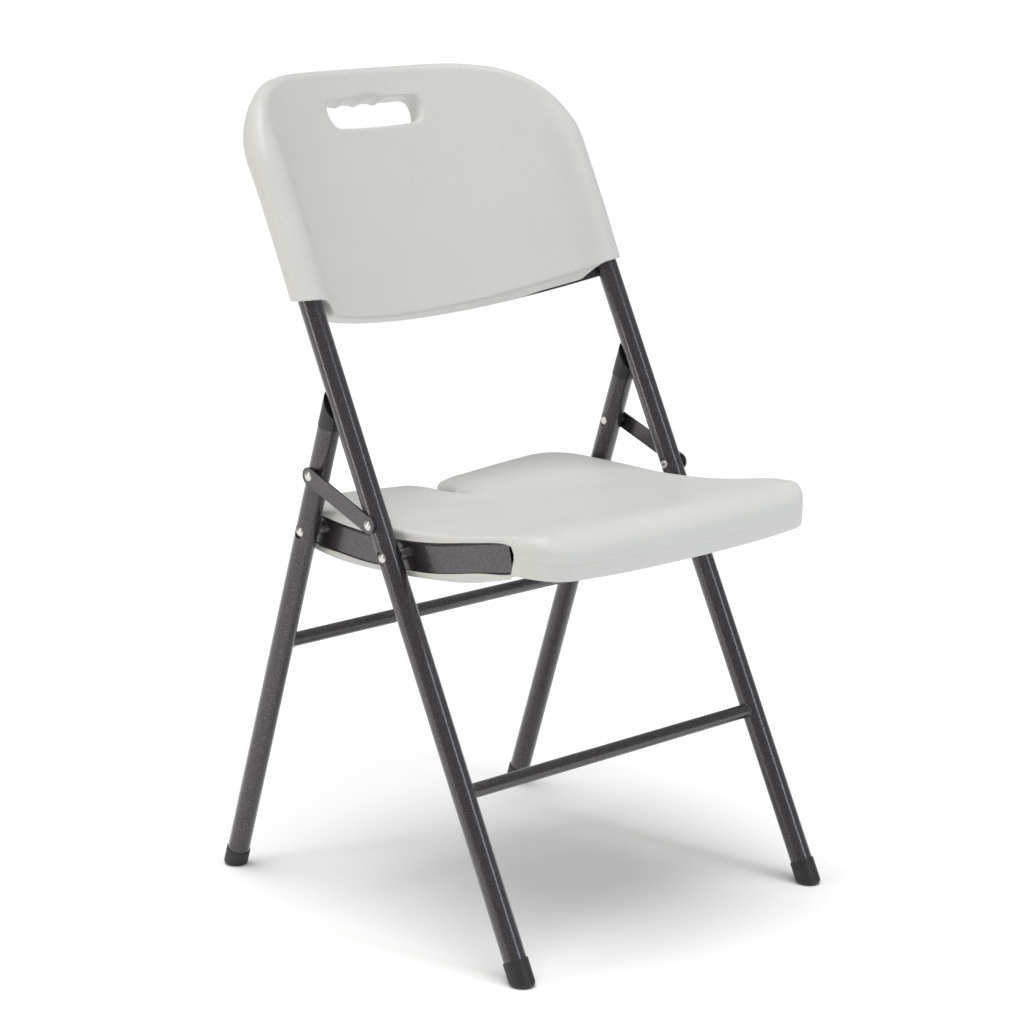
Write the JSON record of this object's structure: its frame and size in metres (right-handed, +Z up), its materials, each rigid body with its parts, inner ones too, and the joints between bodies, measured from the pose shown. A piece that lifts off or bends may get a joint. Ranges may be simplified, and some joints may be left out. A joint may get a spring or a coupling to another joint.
{
  "type": "folding chair",
  "caption": "Folding chair with a round steel tube frame, riveted folding linkage, and moulded seat and curved back with a hand hole.",
  "frame": {"origin": "middle of the chair's bounding box, on the floor", "axes": "+Z up, the sitter faces -Y, +X is the sitter's left"},
  "size_m": [0.483, 0.566, 0.9058],
  "materials": {
    "moulded_plastic": "fine pebble texture, warm light grey",
    "powder_coat": "semi-gloss charcoal powder coat with a fine metallic fleck",
    "zinc_hardware": "zinc plated",
    "foot_rubber": "matt black",
    "cap_plastic": "satin black"
  },
  "bodies": {
    "frame": {"front_leg_left": "powder_coat", "front_leg_right": "powder_coat", "front_crossbar": "powder_coat", "front_foot_left": "foot_rubber", "front_foot_right": "foot_rubber", "backrest": "moulded_plastic", "back_brace": "powder_coat", "back_screws": "zinc_hardware", "seat_pivot_rivet_left": "zinc_hardware", "seat_pivot_rivet_right": "zinc_hardware", "seat_pivot_spacer_left": "zinc_hardware", "seat_pivot_spacer_right": "zinc_hardware", "link_front_rivet_left": "zinc_hardware", "link_front_rivet_right": "zinc_hardware", "link_front_washer_left": "zinc_hardware", "link_front_washer_right": "zinc_hardware"},
    "seat": {"seat": "moulded_plastic", "seat_rail_left": "powder_coat", "seat_rail_right": "powder_coat", "seat_front_cross_tube": "powder_coat", "seat_rear_cross_tube": "powder_coat", "seat_screws": "zinc_hardware"},
    "rear_legs": {"rear_leg_left": "powder_coat", "rear_leg_right": "powder_coat", "rear_crossbar": "powder_coat", "rear_foot_left": "foot_rubber", "rear_foot_right": "foot_rubber", "rear_leg_cap_left": "cap_plastic", "rear_leg_cap_right": "cap_plastic", "leg_pivot_rivet_left": "zinc_hardware", "leg_pivot_rivet_right": "zinc_hardware", "leg_pivot_spacer_left": "zinc_hardware", "leg_pivot_spacer_right": "zinc_hardware", "link_rear_washer_left": "zinc_hardware", "link_rear_washer_right": "zinc_hardware", "link_rear_rivet_tail_left": "zinc_hardware", "link_rear_rivet_tail_right": "zinc_hardware"},
    "links": {"link_left": "powder_coat", "link_right": "powder_coat", "link_rear_rivet_left": "zinc_hardware", "link_rear_rivet_right": "zinc_hardware"}
  },
  "joints": [
    {"name": "seat_fold", "type": "hinge", "parent": "frame", "child": "seat", "pos_m": [0, -0.04983, 0.4187], "axis": [-1, 0, 0], "range_deg": [0, 104]},
    {"name": "leg_fold", "type": "hinge", "parent": "seat", "child": "rear_legs", "pos_m": [0, 0.08977, 0.4224], "axis": [1, 0, 0], "range_deg": [0, 62.3]},
    {"name": "link_swing", "type": "hinge", "parent": "frame", "child": "links", "pos_m": [0, -0.03305, 0.45223], "axis": [-1, 0, 0], "range_deg": [0, 120.8]}
  ],
  "couplings": [
    {"joint": "leg_fold", "follows": "seat_fold", "ratio": 0.5985},
    {"joint": "link_swing", "follows": "seat_fold", "ratio": 1.1601}
  ]
}
